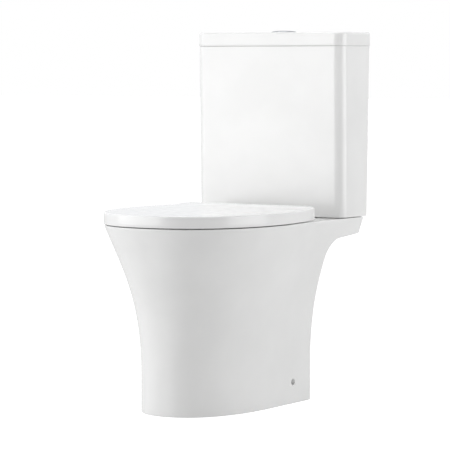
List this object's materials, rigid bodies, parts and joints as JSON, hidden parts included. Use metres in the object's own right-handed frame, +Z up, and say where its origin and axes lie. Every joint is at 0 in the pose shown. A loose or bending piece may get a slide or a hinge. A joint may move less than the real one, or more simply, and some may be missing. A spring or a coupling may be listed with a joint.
{
  "type": "close coupled toilet",
  "caption": "Floor-standing close coupled toilet: flared open-back pan, shelf-mounted cistern with dual flush buttons, soft-close seat and lid.",
  "frame": {"origin": "on the floor, midway between the front of the seat and the back of the cistern lid, on the centre line", "axes": "+Z up, -Y towards the user, +Y towards the wall, +X to the user's left when seated"},
  "size_m": [0.382, 0.62, 0.8],
  "materials": {
    "glazed_china": "gloss",
    "seat_plastic": "gloss",
    "white_plastic": "satin",
    "blue_plastic": "satin",
    "dark_plastic": "satin",
    "chrome": "polished",
    "steel": "satin",
    "brass": "satin",
    "rubber": "matte",
    "clear_rubber": "matte",
    "red_seal": "matte"
  },
  "bodies": {
    "pan_and_cistern": {"pan": "glazed_china", "pan_bowl": "glazed_china", "pan_trap": "glazed_china", "pan_outlet": "glazed_china", "pan_inlet_duct": "glazed_china", "cistern": "glazed_china", "coupling_gasket": "rubber", "cistern_pads": "rubber", "cistern_bolts": "brass", "bolt_seals": "rubber", "bolt_washers": "steel", "cistern_wing_nuts": "brass", "hinge_posts": "chrome", "hinge_pins": "steel", "hinge_rosettes": "chrome", "hinge_studs": "steel", "hinge_stud_washers": "rubber", "hinge_wing_nuts": "white_plastic", "flush_valve_base": "white_plastic", "flush_valve_tower": "blue_plastic", "flush_valve_washer": "rubber", "flush_valve_backnut": "white_plastic", "fill_valve_body": "white_plastic", "fill_valve_cap": "blue_plastic", "fill_valve_washer": "rubber", "fill_valve_backnut": "brass", "pilot_pin": "rubber", "lever_pin": "steel", "inlet_filter": "steel"},
    "seat_ring": {"seat_ring": "seat_plastic", "ring_buffers": "clear_rubber", "ring_damper": "dark_plastic", "ring_bush": "white_plastic"},
    "seat_lid": {"seat_lid": "seat_plastic", "lid_buffers": "clear_rubber", "lid_damper": "dark_plastic", "lid_bush": "white_plastic"},
    "cistern_lid": {"cistern_lid": "glazed_china", "button_bezel": "chrome", "bezel_washer": "rubber", "bezel_nut": "white_plastic", "full_flush_spring": "steel", "half_flush_spring": "steel"},
    "full_button": {"full_flush_button": "chrome", "full_flush_rod": "white_plastic"},
    "half_button": {"half_flush_button": "chrome", "half_flush_rod": "white_plastic"},
    "full_plunger": {"full_flush_plunger": "blue_plastic"},
    "half_plunger": {"half_flush_plunger": "blue_plastic"},
    "valve_spindle": {"overflow_tube": "white_plastic", "flush_seal": "red_seal", "seal_retainer": "white_plastic", "valve_float": "white_plastic"},
    "fill_float": {"inlet_float": "white_plastic", "float_rod": "steel", "rod_nuts": "brass"},
    "fill_lever": {"float_lever": "blue_plastic"}
  },
  "joints": [
    {"name": "ring_hinge", "type": "hinge", "parent": "pan_and_cistern", "child": "seat_ring", "pos_m": [0, 0.097, 0.4045], "axis": [-1, 0, 0], "range_deg": [0, 95]},
    {"name": "lid_hinge", "type": "hinge", "parent": "seat_ring", "child": "seat_lid", "pos_m": [0, 0.097, 0.4045], "axis": [1, 0, 0], "range_deg": [-95, 0]},
    {"name": "cistern_lid_lift", "type": "slide", "parent": "pan_and_cistern", "child": "cistern_lid", "axis": [0, 0, 1], "range_m": [0, 0.12]},
    {"name": "full_button_press", "type": "slide", "parent": "cistern_lid", "child": "full_button", "axis": [0, 0, -1], "range_m": [0, 0.006], "stiffness_N_per_m": 600, "springref_m": -0.003, "deforming": ["full_flush_spring"]},
    {"name": "half_button_press", "type": "slide", "parent": "cistern_lid", "child": "half_button", "axis": [0, 0, -1], "range_m": [0, 0.006], "stiffness_N_per_m": 600, "springref_m": -0.003, "deforming": ["half_flush_spring"]},
    {"name": "full_plunger_slide", "type": "slide", "parent": "pan_and_cistern", "child": "full_plunger", "axis": [0, 0, -1], "range_m": [0, 0.006]},
    {"name": "half_plunger_slide", "type": "slide", "parent": "pan_and_cistern", "child": "half_plunger", "axis": [0, 0, -1], "range_m": [0, 0.006]},
    {"name": "valve_lift", "type": "slide", "parent": "pan_and_cistern", "child": "valve_spindle", "axis": [0, 0, 1], "range_m": [0, 0.012]},
    {"name": "float_rise", "type": "slide", "parent": "pan_and_cistern", "child": "fill_float", "axis": [0, 0, 1], "range_m": [0, 0.012]},
    {"name": "lever_turn", "type": "hinge", "parent": "pan_and_cistern", "child": "fill_lever", "pos_m": [0.14, 0.236, 0.672], "axis": [0, 1, 0], "range_deg": [0, 20]}
  ],
  "couplings": [
    {"joint": "full_plunger_slide", "follows": "full_button_press", "ratio": 1},
    {"joint": "half_plunger_slide", "follows": "half_button_press", "ratio": 1},
    {"joint": "valve_lift", "follows": "full_button_press", "ratio": 2},
    {"joint": "lever_turn", "follows": "float_rise", "rad_per_m": 27.027}
  ]
}
